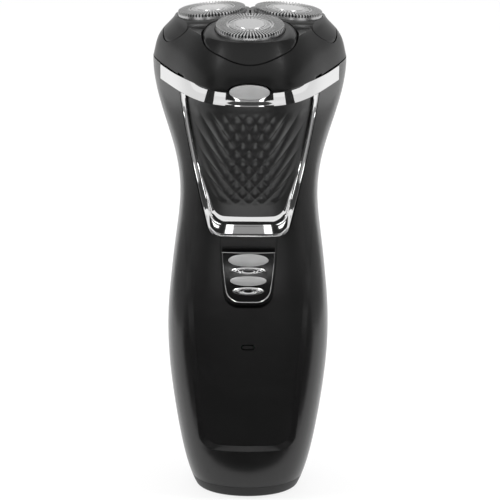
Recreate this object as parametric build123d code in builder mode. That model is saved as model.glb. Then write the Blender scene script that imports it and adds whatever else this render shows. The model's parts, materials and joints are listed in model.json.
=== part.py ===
from build123d import *
import os
from functools import lru_cache
from math import acos, cos, pi, radians, sin, tan
from typing import NamedTuple

# Cordless rotary shaver with three floating heads, in millimetres.
# The origin is the middle of the base that it stands on, +Z points up to the heads and -Y is the front.
# Heights named "drop" are measured down from the parting plane between the handle and the shaving head.

# Clearances
fit = 0.05
seat_gap = 0.15
slide_gap = 0.3
running_gap = 0.06
reach = 80.0

# Handle shell
parting_height = 142.1
parting_gap = 0.4
wall = 2.2
split_plane = 1.5
split_gap = 0.1
section_points = 16
base_cap_height = 4.0
base_floor = 2.0
base_spigot = 3.0
spigot_wall = 1.4
base_edge = 1.2

# Screws that hold the two covers together: how far out, and how high or how far down they stand
boss_radius = 2.9
screw_seat_depth = 4.0
cover_thread = 6.0
low_screw_half = 10.5
low_screw_height = 27.0
high_screw_half = 16.6
high_screw_drop = 27.0

# Front field, collar band, inlay and its trim
field_top_drop = 40.0
field_top_half = 20.4
field_middle_drop = 82.0
field_middle_half = 18.5
lip_height = 18.0
lip_half = 15.2
lip_corner = 5.5
collar_height = 4.5
collar_depth = 1.0
collar_proud = 0.3
collar_half = 28.0
collar_back = 5.0
trim_top_half = 21.6
trim_middle_drop = 23.0
trim_middle_half = 18.6
trim_bottom_drop = 50.6
trim_low_half = 12.3
trim_corner = 4.0
trim_strip = 2.1
trim_bar = 6.6
trim_depth = 1.3
trim_proud = 0.35
inlay_sink = 0.5

# On-off slider
switch_drop = 62.2
recess_height = 24.0
recess_top_half = 9.1
recess_middle_half = 8.5
recess_low_half = 7.2
recess_corner = 4.8
recess_depth = 2.6
recess_floor = 1.2
slider_top_half = 8.3
slider_middle_half = 7.75
slider_low_half = 6.4
slider_height = 16.5
slider_corner = 4.4
slider_proud = 0.5
slider_travel = 3.5
slider_rest_gap = 2.3
slider_stem = 2.5
slider_stem_half = 2.5
ridge_proud = 0.6
ridge_sink = 0.4
# Grips on the slider: height above its lower end, half width, half height
grips = [(13.9, 6.1, 2.0), (10.4, 5.7, 1.2), (7.2, 5.4, 1.6), (3.9, 4.7, 1.2)]

# Indicator window
window_drop = 87.4
window_width = 4.2
window_height = 1.8

# Charging socket
inlet_width = 9.6
inlet_depth = 5.6
inlet_length = 10.5
inlet_wall = 1.6
pin_spacing = 4.4
pin_radius = 0.7
pin_length = 6.0
pin_tail = 1.0

# Drive
head_count = 3
pinion_teeth = 12
gear_teeth = 30
gear_module = 0.6
addendum = 0.8
dedendum = 1.2
pressure_angle = radians(20)
backlash = 0.16
flank_steps = 5
gear_width = 3.0
gear_side_gap = 0.9
deck_drop = 1.2
deck_thickness = 1.6
gear_plate_thickness = 2.0
axle_radius = 1.0
shaft_radius = 1.0
spindle_radius = 2.4
spindle_neck = 1.2
tip_sides = 6
tip_flats = 3.0
tip_half_length = 1.2
seal_radius = 4.0
post_radius = 2.4
post_circle = 17.4
screw_radius = 1.0
screw_head_radius = 1.9
screw_head_height = 1.0
motor_radius = 11.5
motor_length = 30.0
motor_boss_radius = 3.0
motor_boss_height = 1.5
motor_screw_circle = 8.0
screw_slot = 0.5
motor_thread = 3.0
shaft_end = 2.0
terminal_length = 2.0
collar_rise = 0.4

# Battery, board and the chassis that carries them
motor_gap = 6.0
bulkhead = 1.6
battery_radius = 7.0
battery_length = 50.0
battery_back = 1.5
terminal_radius = 2.8
terminal_height = 1.2
contact_thickness = 0.4
contact_half = 4.5
back_plate_half = 9.0
back_plate_thickness = 1.4
board_half = 11.5
board_thickness = 1.2
board_front = -11.8
switch_body_height = 3.2
lead_radius = 0.55
lead_spacing = 5.0
lead_bend = 1.2
lead_back = -5.0
lamp_half = 1.0
lamp_height = 1.2
switch_half = 4.0
lever_half = 0.7
lever_depth = 1.2
lever_reach = 1.2

# Shaving head
coupling_rise = 2.5
head_tilt = radians(5.5)
head_wall = 2.0
cover_top_rise = 13.4
hollow_rise = 6.4
pod_half_width = 15.0
pod_half_depth = 16.4
pod_shoulder = 3.0
pod_gap = 0.6
pod_travel = 1.5
pod_top = 12.4
pod_roof = 1.9
pod_bottom_rise = 4.4
lug_radius = 15.5
lug_length = 3.0
lug_width = 2.4
lug_height = 2.0
lug_shift = 0.8
cap_radius = 10.6
cap_top = 14.1
cap_skin = 0.5
cap_wall = 0.6
cap_flange = 0.8
flange_height = 0.8
cap_edge = 0.45
groove_radius = 6.7
groove_width = 0.5
groove_depth = 0.25
disc_radius = 4.6
disc_thickness = 0.6
disc_stub = 0.8
disc_edge = 0.3
disc_crown = 0.15
outer_slots = 60
inner_slots = 40
slot_width = 0.3
slot_rim = 0.9
retainer_height = 1.1
retainer_width = 1.5
cutter_radius = 9.2
cutter_disc = 0.8
cutter_hub = 2.9
blade_count = 15
blade_inner = 6.2
blade_width = 0.5
blade_gap = 0.25
socket_gap = 0.35
frame_rise = 1.0
frame_thickness = 1.4
frame_window = 8.5
spring_wire = 0.6

# Head hinge and release button
hinge_back = 25.3
hinge_pin_radius = 0.9
knuckle_radius = 2.1
knuckle_half = 6.0
ear_width = 3.2
ear_root = 4.5
ear_lean = 1.2
notch_half = 21.2
notch_width = 2.0
notch_height = 0.5
button_half_width = 6.4
button_half_height = 2.45
button_proud = 1.1
button_depth = 3.2
button_travel = 1.2
button_edge = 0.5
stem_half = 2.4
stem_height = 1.4
stem_drop = 1.5
stem_length = 4.2
release_spring_radius = 1.2
pressed_spring_length = 1.8


class Section(NamedTuple):
    """One level outline: a rounded shape between an ellipse and a three-lobed triangle with a blunt front."""

    height: float
    half_width: float
    front: float
    back: float
    triangle: float
    square: float
    blunt: float
    sunk: float

    def inset(self, amount):
        return self._replace(
            half_width=self.half_width - amount, front=self.front - amount, back=self.back - amount
        )

    def points(self):
        depth = (self.front + self.back) / 2
        shift = depth + self.triangle - self.front
        corners = []
        for step in range(section_points):
            angle = pi + 2 * pi * step / section_points
            square = self.square + self.blunt * ((1 + cos(angle)) / 2) ** 4
            x = (self.half_width + square) * sin(angle) + square * sin(3 * angle)
            y = shift - (depth + square) * cos(angle) + square * cos(3 * angle)
            corners.append((x - self.triangle * sin(2 * angle), y - self.triangle * cos(2 * angle)))
        return corners


# Levels of the handle, the lowest measured up from the base and the rest down from the parting plane:
# height, half width, front, back, three-lobedness, squareness, bluntness in front, depth of the front field
shell_top = parting_height - parting_gap / 2
HANDLE = [
    Section(0.0, 16.6, 13.4, 12.4, 0.0, 0.1, 0.0, 1.2),
    Section(base_cap_height, 18.3, 15.2, 14.0, 0.0, 0.2, 0.0, 1.2),
    Section(18.0, 21.8, 17.9, 16.8, 0.0, 0.7, 0.0, 1.2),
    Section(36.0, 24.5, 19.8, 18.8, 0.0, 1.1, 0.0, 1.1),
    Section(parting_height - 85.0, 25.8, 20.5, 19.5, 0.0, 1.3, 0.0, 0.9),
    Section(parting_height - 66.0, 24.4, 19.8, 19.0, 0.0, 1.2, 0.0, 0.55),
    Section(parting_height - 44.0, 21.9, 19.3, 18.2, 0.2, 1.0, 0.0, -0.1),
    Section(parting_height - 30.0, 23.0, 21.6, 18.6, 0.9, 0.6, 0.2, -0.8),
    Section(parting_height - 18.0, 26.4, 25.6, 20.3, 2.2, 0.2, 0.9, -1.6),
    Section(parting_height - 8.6, 28.8, 29.6, 23.0, 3.6, 0.0, 1.8, -2.0),
    Section(shell_top, 29.3, 32.0, 25.0, 4.4, 0.0, 2.4, -2.0),
]

# Levels of the domed shaving head, measured up from the parting plane
cover_bottom = parting_height + parting_gap / 2
DOME = [
    Section(cover_bottom, 29.2, 32.0, 25.0, 4.4, 0.0, 2.4, 0.0),
    Section(parting_height + 4.9, 28.1, 31.0, 24.3, 4.3, 0.0, 2.3, 0.0),
    Section(parting_height + 7.9, 26.7, 29.3, 23.2, 4.1, 0.0, 2.2, 0.0),
    Section(parting_height + 10.3, 24.9, 27.7, 21.8, 3.8, 0.0, 2.1, 0.0),
    Section(parting_height + 16.3, 22.4, 24.6, 18.8, 3.2, 0.0, 1.8, 0.0),
]

# Heights that follow from the sizes above
pinion_pitch = gear_module * pinion_teeth / 2
gear_pitch = gear_module * gear_teeth / 2
head_circle = pinion_pitch + gear_pitch
deck_top = shell_top - deck_drop
deck_bottom = deck_top - deck_thickness
gear_top = deck_bottom - gear_side_gap
gear_bottom = gear_top - gear_width
plate_top = gear_bottom - gear_side_gap
plate_bottom = plate_top - gear_plate_thickness
motor_bottom = plate_bottom - motor_length
chassis_top = motor_bottom - motor_gap
battery_top = chassis_top - bulkhead - contact_thickness
battery_bottom = battery_top - battery_length
chassis_bottom = battery_bottom - contact_thickness - bulkhead
coupling_height = parting_height + coupling_rise
frame_bottom = parting_height + frame_rise
frame_top = frame_bottom + frame_thickness
cover_top = parting_height + cover_top_rise
hollow_top = parting_height + hollow_rise
switch_height = parting_height - switch_drop
recess_bottom = switch_height - recess_height / 2
recess_top = switch_height + recess_height / 2
slider_bottom = recess_bottom + slider_rest_gap
slider_top = slider_bottom + slider_height
window_level = parting_height - window_drop
board_back = board_front + board_thickness
head_azimuths = [2 * pi * index / head_count for index in range(head_count)]


def lofted(sections):
    """Solid through a stack of level outlines."""
    with BuildPart() as body:
        for section in sections:
            with BuildSketch(Plane.XY.offset(section.height)):
                with BuildLine():
                    Spline(*section.points(), periodic=True)
                make_face()
        loft()
    return body.part


@lru_cache
def handle(inset=0.0):
    """Handle form, moved inwards by an amount."""
    return lofted([section.inset(inset) for section in HANDLE])


@lru_cache
def dome(inset=0.0):
    """Shaving head form, moved inwards by an amount."""
    return lofted([section.inset(inset) for section in DOME])


def front_at(sections, height):
    """How far the front reaches at a height, by straight lines between the levels."""
    for low, high in zip(sections, sections[1:]):
        if height <= high.height:
            share = (height - low.height) / (high.height - low.height)
            return low.front + (high.front - low.front) * share
    return sections[-1].front


def block(low, high, mode=Mode.ADD):
    """Box between two corners, in the open part."""
    with Locations(tuple((a + b) / 2 for a, b in zip(low, high))):
        Box(*[b - a for a, b in zip(low, high)], mode=mode)


def rod(x, y, low, high, radius, mode=Mode.ADD):
    """Upright cylinder between two heights, in the open part."""
    with Locations((x, y, low)):
        Cylinder(radius, high - low, align=(Align.CENTER, Align.CENTER, Align.MIN), mode=mode)


def cross_rod(y, z, low, high, radius, mode=Mode.ADD):
    """Cylinder along X between two places, in the open part."""
    with Locations(((low + high) / 2, y, z)):
        Cylinder(radius, high - low, rotation=(0, 90, 0), mode=mode)


def depth_rod(x, z, low, high, radius, mode=Mode.ADD):
    """Cylinder along Y between two places, in the open part."""
    with Locations((x, (low + high) / 2, z)):
        Cylinder(radius, high - low, rotation=(90, 0, 0), mode=mode)


def outward(azimuth, distance=1.0):
    """Level direction of a head from the axis, where azimuth 0 is the front."""
    return Vector(distance * sin(azimuth), -distance * cos(azimuth), 0)


def head_plane(azimuth):
    """Plane at a head's coupling, square to its axis, which leans outwards."""
    lean = outward(azimuth, sin(head_tilt)) + Vector(0, 0, cos(head_tilt))
    place = outward(azimuth, head_circle) + Vector(0, 0, coupling_height)
    return Plane(origin=place, x_dir=(cos(azimuth), sin(azimuth), 0), z_dir=lean)


def tapered_outline(top, top_half, middle, middle_half, bottom, low_half, corner):
    """Face on the front view: sides as one arc each, narrowing downwards, with rounded lower corners."""
    with BuildLine() as rim:
        ThreePointArc((top_half, top), (middle_half, middle), (low_half, bottom))
        ThreePointArc((-top_half, top), (-middle_half, middle), (-low_half, bottom))
        Line((top_half, top), (-top_half, top))
        Line((low_half, bottom), (-low_half, bottom))
    make_face(rim.edges())
    fillet(vertices().group_by(Axis.Y)[0], corner)


def trim_outline(inset_side=0.0, inset_bottom=0.0):
    """Outline of the U-shaped trim on the front view, or of the inlay inside it."""
    tapered_outline(
        shell_top - collar_height - fit,
        trim_top_half - inset_side,
        parting_height - trim_middle_drop,
        trim_middle_half - inset_side,
        parting_height - trim_bottom_drop + inset_bottom,
        trim_low_half - inset_side,
        trim_corner,
    )


def front_prism(outline, *sizes):
    """Outline on the front view, carried from the axis out past the front."""
    with BuildPart() as prism:
        with BuildSketch(Plane.XZ):
            outline(*sizes)
        extrude(amount=reach)
    return prism.part


def save(piece, name):
    piece.part.label = name
    export_step(piece.part, f"parts/{name}.step")


os.makedirs("parts", exist_ok=True)

# Forms that several pieces share
handle_outer = handle()
handle_inner = handle(wall)
handle_fitted = handle(wall + seat_gap)
dome_outer = dome()
field_form = lofted([section._replace(front=section.front - section.sunk) for section in HANDLE])
parting_front = HANDLE[-1].front
collar_bottom = shell_top - collar_height
recess_plane = recess_depth - front_at(HANDLE, switch_height)
slider_plane = recess_plane - seat_gap
hinge_height = coupling_height
switch_face = board_front - switch_body_height
lever_tip = switch_face - lever_reach
screw_seat = split_plane + screw_seat_depth
high_screw_height = parting_height - high_screw_drop
screw_places = [
    (low_screw_half, low_screw_height),
    (-low_screw_half, low_screw_height),
    (high_screw_half, high_screw_height),
    (-high_screw_half, high_screw_height),
]


def collar_zone(grow):
    """Space of the collar band, a little larger by an amount."""
    with BuildPart() as zone:
        block(
            (-collar_half - grow, -reach, collar_bottom - grow),
            (collar_half + grow, collar_back + grow, shell_top - fit + grow),
        )
    return zone.part


def outside(zone, inset):
    """What of a zone lies outside the handle form, moved inwards by an amount."""
    with BuildPart() as rest:
        add(zone)
        add(handle(inset), mode=Mode.SUBTRACT)
    return rest.part


def skin(zone, outer_inset, inner_inset):
    """Layer of the handle's surface inside a zone."""
    with BuildPart() as layer:
        add(handle(outer_inset))
        add(zone, mode=Mode.INTERSECT)
        add(handle(inner_inset), mode=Mode.SUBTRACT)
    return layer.part


def button_prism(grow):
    """Oval of the release button, carried through the front."""
    with BuildPart() as prism:
        with BuildSketch(Plane.XZ):
            with Locations((0, parting_height)):
                Ellipse(button_half_width + grow, button_half_height + grow)
        extrude(amount=reach)
    return prism.part


def window_prism(grow):
    """Oval of the indicator window, carried through the front."""
    with BuildPart() as prism:
        with BuildSketch(Plane.XZ):
            with Locations((0, window_level)):
                SlotOverall(window_width + 2 * grow, window_height + 2 * grow)
        extrude(amount=reach)
    return prism.part


def slider_outline(grow=0.0):
    """Outline of the on-off slider on the front view."""
    tapered_outline(
        slider_top + grow,
        slider_top_half + grow,
        slider_bottom + slider_height / 2,
        slider_middle_half + grow,
        slider_bottom - grow,
        slider_low_half + grow,
        slider_corner + grow,
    )


def grip_layer(inset):
    """The oval grips of the slider, sunk a little into it."""
    with BuildPart() as prisms:
        with BuildSketch(Plane.XZ):
            for level, half_width, half_height in grips:
                with Locations((0, slider_bottom + level)):
                    Ellipse(half_width - inset, half_height - inset)
        extrude(amount=reach)
    return skin(prisms.part, -slider_proud - ridge_proud, -slider_proud + ridge_sink - inset)


with BuildPart() as screw_bosses:
    for x, z in screw_places:
        depth_rod(x, z, -reach, reach, boss_radius)
    add(handle(wall / 2), mode=Mode.INTERSECT)

collar_pocket = outside(collar_zone(fit), collar_depth)

# Front cover: the front half of the handle with its sunken field, pockets, slider recess and windows
with BuildPart() as field_cut:
    add(
        front_prism(
            tapered_outline,
            parting_height - field_top_drop,
            field_top_half,
            parting_height - field_middle_drop,
            field_middle_half,
            lip_height,
            lip_half,
            lip_corner,
        )
    )
    add(field_form, mode=Mode.SUBTRACT)

with BuildPart() as recess_back:
    block(
        (-recess_top_half - wall, recess_plane, recess_bottom - wall),
        (recess_top_half + wall, recess_plane + recess_floor, recess_top + wall),
    )
    add(handle(wall / 2), mode=Mode.INTERSECT)

with BuildPart() as recess_cut:
    with BuildSketch(Plane.XZ.offset(-recess_plane)):
        tapered_outline(
            recess_top,
            recess_top_half,
            switch_height,
            recess_middle_half,
            recess_bottom,
            recess_low_half,
            recess_corner,
        )
    extrude(amount=reach)

slider_middle = slider_bottom + slider_height / 2
with BuildPart() as front_cover:
    add(handle_outer)
    add(handle_inner, mode=Mode.SUBTRACT)
    add(screw_bosses.part)
    block(
        (-reach, -reach, base_cap_height + split_gap),
        (reach, split_plane - split_gap / 2, shell_top),
        mode=Mode.INTERSECT,
    )
    add(recess_back.part)
    add(field_cut.part, mode=Mode.SUBTRACT)
    add(collar_pocket, mode=Mode.SUBTRACT)
    add(outside(front_prism(trim_outline, -fit, -fit), trim_depth), mode=Mode.SUBTRACT)
    add(recess_cut.part, mode=Mode.SUBTRACT)
    block(
        (-slider_stem - slide_gap, -reach, slider_middle - slider_stem_half - slide_gap),
        (
            slider_stem + slide_gap,
            recess_plane + recess_floor + wall,
            slider_middle + slider_stem_half + slider_travel + slide_gap,
        ),
        mode=Mode.SUBTRACT,
    )
    add(window_prism(fit), mode=Mode.SUBTRACT)
    add(button_prism(slide_gap), mode=Mode.SUBTRACT)
    for x, z in screw_places:
        depth_rod(x, z, split_plane - cover_thread, split_plane, screw_radius, mode=Mode.SUBTRACT)
save(front_cover, "front_cover")

# Rear cover: the back half of the handle with the two ears of the head hinge
with BuildPart() as rear_cover:
    add(handle_outer)
    add(handle_inner, mode=Mode.SUBTRACT)
    add(screw_bosses.part)
    block(
        (-reach, split_plane + split_gap / 2, base_cap_height + split_gap),
        (reach, reach, shell_top),
        mode=Mode.INTERSECT,
    )
    add(collar_pocket, mode=Mode.SUBTRACT)
    for inner_end in (knuckle_half + slide_gap, -knuckle_half - slide_gap - ear_width):
        cross_rod(hinge_back, hinge_height, inner_end, inner_end + ear_width, knuckle_radius)
        with BuildSketch(Plane.YZ.offset(inner_end)):
            with BuildLine():
                Polyline(
                    (hinge_back - knuckle_radius, hinge_height),
                    (hinge_back + knuckle_radius, hinge_height),
                    (hinge_back - knuckle_radius + ear_lean, shell_top - ear_root),
                    (hinge_back - knuckle_radius, shell_top - ear_root),
                    close=True,
                )
            make_face()
        extrude(amount=ear_width)
    cross_rod(hinge_back, hinge_height, -reach, reach, hinge_pin_radius + fit, mode=Mode.SUBTRACT)
    for x, z in screw_places:
        depth_rod(x, z, split_plane, screw_seat, screw_radius + fit, mode=Mode.SUBTRACT)
        depth_rod(x, z, screw_seat, reach, screw_head_radius + seat_gap, mode=Mode.SUBTRACT)
save(rear_cover, "rear_cover")

with BuildPart() as housing_screws:
    for x, z in screw_places:
        depth_rod(x, z, split_plane - cover_thread + fit, screw_seat, screw_radius - fit)
        depth_rod(x, z, screw_seat, screw_seat + screw_head_height, screw_head_radius)
        block(
            (x - screw_head_radius, screw_seat + screw_head_height / 2, z - screw_slot / 2),
            (x + screw_head_radius, screw_seat + screw_head_height, z + screw_slot / 2),
            mode=Mode.SUBTRACT,
        )
save(housing_screws, "housing_screws")

# Base cap: closes the handle below, with a rim that plugs into both covers and the charging opening
with BuildPart() as rim_outside:
    add(handle_fitted)
    add(handle(wall + seat_gap + spigot_wall), mode=Mode.SUBTRACT)
    block(
        (-reach, -reach, base_floor),
        (reach, reach, base_cap_height + base_spigot),
        mode=Mode.INTERSECT,
    )


def inlet_prism(grow, low, high):
    """Oval of the charging inlet between two heights."""
    with BuildPart() as prism:
        with BuildSketch(Plane.XY.offset(low)):
            SlotOverall(inlet_width + 2 * grow, inlet_depth + 2 * grow)
        extrude(amount=high - low)
    return prism.part


with BuildPart() as base_hollow:
    add(handle_inner)
    block((-reach, -reach, base_floor), (reach, reach, base_cap_height), mode=Mode.INTERSECT)

with BuildPart() as base_cap:
    add(handle_outer)
    block((-reach, -reach, 0), (reach, reach, base_cap_height), mode=Mode.INTERSECT)
    fillet(faces().sort_by(Axis.Z)[0].edges(), base_edge)
    add(base_hollow.part, mode=Mode.SUBTRACT)
    add(rim_outside.part)
    add(inlet_prism(0, 0, base_floor), mode=Mode.SUBTRACT)
save(base_cap, "base_cap")

# Collar band, U-shaped trim and patterned inlay, set into the front cover
with BuildPart() as collar_trim:
    add(skin(collar_zone(0), -collar_proud, collar_depth - fit))
    add(button_prism(slide_gap), mode=Mode.SUBTRACT)
save(collar_trim, "collar_trim")

with BuildPart() as inlay_trim:
    add(skin(front_prism(trim_outline), -trim_proud, trim_depth - fit))
    add(front_prism(trim_outline, trim_strip, trim_bar), mode=Mode.SUBTRACT)
save(inlay_trim, "inlay_trim")

with BuildPart() as grip_inlay:
    add(skin(front_prism(trim_outline, trim_strip + fit, trim_bar + fit), inlay_sink, trim_depth - fit))
save(grip_inlay, "grip_inlay")

# On-off slider with its raised grips, and the switch that its stem works
slider_flange = skin(front_prism(slider_outline), -slider_proud, recess_depth + wall)
with BuildPart() as switch_slider:
    add(slider_flange)
    block((-reach, slider_plane, 0), (reach, reach, reach * 2), mode=Mode.SUBTRACT)
    block(
        (-slider_stem, slider_plane - fit, slider_middle - slider_stem_half),
        (slider_stem, switch_face - seat_gap, slider_middle + slider_stem_half),
    )
    block(
        (-lever_half - seat_gap, lever_tip - seat_gap, slider_middle - lever_half - seat_gap),
        (lever_half + seat_gap, reach, slider_middle + lever_half + seat_gap),
        mode=Mode.SUBTRACT,
    )
    add(grip_layer(0), mode=Mode.SUBTRACT)
save(switch_slider, "switch_slider")

with BuildPart() as slider_grips:
    add(grip_layer(fit))
save(slider_grips, "slider_grips")

with BuildPart() as slide_switch:
    block(
        (-switch_half, switch_face, slider_middle - switch_half),
        (switch_half, board_front, slider_middle + switch_half + slider_travel),
    )
    block(
        (-lever_half - seat_gap, switch_face, slider_middle - lever_half - seat_gap),
        (
            lever_half + seat_gap,
            switch_face + lever_depth + seat_gap,
            slider_middle + lever_half + slider_travel + seat_gap,
        ),
        mode=Mode.SUBTRACT,
    )
save(slide_switch, "slide_switch")

with BuildPart() as switch_lever:
    block(
        (-lever_half, lever_tip, slider_middle - lever_half),
        (lever_half, switch_face + lever_depth, slider_middle + lever_half),
    )
save(switch_lever, "switch_lever")

# Indicator lamp and the clear window in front of it
lamp_face = board_front - lamp_height
with BuildPart() as indicator_lamp:
    block(
        (-lamp_half, lamp_face, window_level - lamp_half),
        (lamp_half, board_front, window_level + lamp_half),
    )
save(indicator_lamp, "indicator_lamp")

with BuildPart() as light_pipe:
    add(window_prism(0))
    add(field_form, mode=Mode.INTERSECT)
    block((-reach, lamp_face - seat_gap, 0), (reach, reach, reach * 2), mode=Mode.SUBTRACT)
save(light_pipe, "light_pipe")

# Charging socket and its two contact pins
socket_top = inlet_length + inlet_wall
with BuildPart() as charging_socket:
    add(inlet_prism(inlet_wall, base_floor, socket_top))
    add(inlet_prism(0, base_floor, inlet_length), mode=Mode.SUBTRACT)
    for side in (-1, 1):
        rod(side * pin_spacing / 2, 0, base_floor, reach, pin_radius + fit, mode=Mode.SUBTRACT)
save(charging_socket, "charging_socket")

with BuildPart() as socket_pins:
    for side in (-1, 1):
        rod(side * pin_spacing / 2, 0, inlet_length - pin_length, socket_top + pin_tail, pin_radius)
save(socket_pins, "socket_pins")

# Chassis: two bulkheads that fill the handle's section, joined behind the battery
plate_back = battery_back + battery_radius + seat_gap
with BuildPart() as chassis:
    block((-reach, -reach, chassis_top - bulkhead), (reach, reach, chassis_top))
    block((-reach, -reach, chassis_bottom), (reach, reach, chassis_bottom + bulkhead))
    add(handle_fitted, mode=Mode.INTERSECT)
    block(
        (-back_plate_half, plate_back, chassis_bottom),
        (back_plate_half, plate_back + back_plate_thickness, chassis_top),
    )
    block(
        (-board_half - fit, board_front - fit, 0),
        (board_half + fit, board_back + fit, reach * 2),
        mode=Mode.SUBTRACT,
    )
save(chassis, "chassis")

with BuildPart() as battery:
    rod(0, battery_back, battery_bottom, battery_top - terminal_height, battery_radius)
    rod(0, battery_back, battery_top - terminal_height, battery_top, terminal_radius)
save(battery, "battery")

with BuildPart() as battery_contacts:
    for low in (battery_bottom - contact_thickness, battery_top):
        block(
            (-contact_half, battery_back - contact_half, low),
            (contact_half, battery_back + contact_half, low + contact_thickness),
        )
        block(
            (-terminal_radius, board_back, low),
            (terminal_radius, battery_back - contact_half, low + contact_thickness),
        )
save(battery_contacts, "battery_contacts")

with BuildPart() as circuit_board:
    block((-board_half, board_front, chassis_bottom), (board_half, board_back, chassis_top))
save(circuit_board, "circuit_board")

# Motor, its leads to the board, its shaft and the pinion
board_middle = board_front + board_thickness / 2
with BuildPart() as motor:
    rod(0, 0, motor_bottom, plate_bottom, motor_radius)
    rod(0, 0, plate_bottom, plate_bottom + motor_boss_height, motor_boss_radius)
    for side in (-1, 1):
        block(
            (side * lead_spacing - lead_radius * 2, lead_back - lead_radius, motor_bottom - terminal_length),
            (side * lead_spacing + lead_radius * 2, lead_back + lead_radius, motor_bottom),
        )
        thread_x = side * motor_screw_circle
        rod(thread_x, 0, plate_bottom - motor_thread, plate_bottom, screw_radius, mode=Mode.SUBTRACT)
    rod(0, 0, motor_bottom + shaft_end, reach * 2, shaft_radius + running_gap, mode=Mode.SUBTRACT)
save(motor, "motor")

with BuildPart() as motor_leads:
    for side in (-1, 1):
        lead_x = side * lead_spacing
        lead_level = (chassis_top + motor_bottom - terminal_length) / 2
        with BuildLine() as lead_path:
            FilletPolyline(
                (lead_x, lead_back, motor_bottom - terminal_length),
                (lead_x, lead_back, lead_level),
                (lead_x, board_middle, lead_level),
                (lead_x, board_middle, chassis_top),
                radius=lead_bend,
            )
        with BuildSketch(Plane(origin=lead_path.line @ 0, z_dir=lead_path.line % 0)):
            Circle(lead_radius)
        sweep(path=lead_path.line)
save(motor_leads, "motor_leads")

with BuildPart() as motor_shaft:
    rod(0, 0, motor_bottom + shaft_end + running_gap, gear_top, shaft_radius)
save(motor_shaft, "motor_shaft")


def gear_corners(teeth, phase):
    """Points round a spur gear with involute flanks, a tooth standing at the phase angle."""
    pitch_radius = gear_module * teeth / 2
    base_radius = pitch_radius * cos(pressure_angle)
    root = pitch_radius - dedendum * gear_module
    tip = pitch_radius + addendum * gear_module

    def roll(radius):
        angle = acos(base_radius / max(radius, base_radius))
        return tan(angle) - angle

    half_pitch = pi / (2 * teeth) - backlash / (4 * pitch_radius) + roll(pitch_radius)
    radii = [root + (tip - root) * step / flank_steps for step in range(flank_steps + 1)]
    flank = [(radius, half_pitch - roll(radius)) for radius in radii]
    corners = []
    for tooth in range(teeth):
        middle = phase + 2 * pi * tooth / teeth
        for radius, half in flank:
            corners.append((radius * cos(middle - half), radius * sin(middle - half)))
        for radius, half in reversed(flank):
            corners.append((radius * cos(middle + half), radius * sin(middle + half)))
    return corners


with BuildPart() as drive_pinion:
    with BuildSketch(Plane.XY.offset(gear_bottom)):
        with BuildLine():
            Polyline(*gear_corners(pinion_teeth, -pi / 2), close=True)
        make_face()
        Circle(shaft_radius + fit, mode=Mode.SUBTRACT)
    extrude(amount=gear_width)
save(drive_pinion, "drive_pinion")

# Gear plate on the motor, with posts for the deck, and the deck that closes the handle under the head
post_azimuths = [azimuth + pi / head_count for azimuth in head_azimuths]
with BuildPart() as gear_plate:
    block((-reach, -reach, plate_bottom), (reach, reach, plate_top))
    add(handle_fitted, mode=Mode.INTERSECT)
    for azimuth in post_azimuths:
        post = outward(azimuth, post_circle)
        rod(post.X, post.Y, plate_top, deck_bottom, post_radius)
        rod(post.X, post.Y, plate_top, deck_bottom, screw_radius, mode=Mode.SUBTRACT)
    for azimuth in head_azimuths:
        axle = outward(azimuth, head_circle)
        rod(axle.X, axle.Y, plate_bottom, plate_top, axle_radius + fit, mode=Mode.SUBTRACT)
    rod(0, 0, plate_bottom, plate_top, motor_boss_radius + fit, mode=Mode.SUBTRACT)
    for side in (-1, 1):
        rod(side * motor_screw_circle, 0, plate_bottom, plate_top, screw_radius + fit, mode=Mode.SUBTRACT)
        rod(
            side * motor_screw_circle,
            0,
            plate_top - screw_head_height,
            plate_top,
            screw_head_radius + fit,
            mode=Mode.SUBTRACT,
        )
save(gear_plate, "gear_plate")

button_back = parting_front + button_proud - button_depth
release_spring_length = pressed_spring_length + button_travel
spring_seat = -button_back + stem_length + release_spring_length
stem_level = parting_height - stem_drop
with BuildPart() as button_room:
    add(button_prism(slide_gap))
    block(
        (-reach, -reach, 0),
        (reach, button_travel + slide_gap - button_back, reach * 2),
        mode=Mode.INTERSECT,
    )

with BuildPart() as gear_deck:
    block((-reach, -reach, deck_bottom), (reach, reach, deck_top))
    add(handle_fitted, mode=Mode.INTERSECT)
    add(button_room.part, mode=Mode.SUBTRACT)
    block(
        (-stem_half - slide_gap, -reach, deck_bottom),
        (stem_half + slide_gap, spring_seat, deck_top),
        mode=Mode.SUBTRACT,
    )
    for azimuth in head_azimuths:
        axle = outward(azimuth, head_circle)
        rod(axle.X, axle.Y, deck_bottom, deck_top, seal_radius + fit, mode=Mode.SUBTRACT)
    for azimuth in post_azimuths:
        post = outward(azimuth, post_circle)
        rod(post.X, post.Y, deck_bottom, deck_top, screw_radius + fit, mode=Mode.SUBTRACT)
        rod(
            post.X,
            post.Y,
            deck_top - screw_head_height,
            deck_top,
            screw_head_radius + fit,
            mode=Mode.SUBTRACT,
        )
save(gear_deck, "gear_deck")


def screw(x, y, head_top, tip):
    """Screw with a flat head and a driver slot, in the open part."""
    rod(x, y, tip, head_top - screw_head_height, screw_radius - fit)
    rod(x, y, head_top - screw_head_height, head_top, screw_head_radius)
    block(
        (x - screw_head_radius, y - screw_slot / 2, head_top - screw_head_height / 2),
        (x + screw_head_radius, y + screw_slot / 2, head_top),
        mode=Mode.SUBTRACT,
    )


with BuildPart() as motor_screws:
    for side in (-1, 1):
        screw(side * motor_screw_circle, 0, plate_top, plate_bottom - motor_thread + fit)
save(motor_screws, "motor_screws")

with BuildPart() as deck_screws:
    for azimuth in post_azimuths:
        post = outward(azimuth, post_circle)
        screw(post.X, post.Y, deck_top, plate_top + fit)
save(deck_screws, "deck_screws")

with BuildPart() as gear_axles:
    for azimuth in head_azimuths:
        axle = outward(azimuth, head_circle)
        rod(axle.X, axle.Y, plate_bottom, deck_bottom, axle_radius)
save(gear_axles, "gear_axles")

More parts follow.
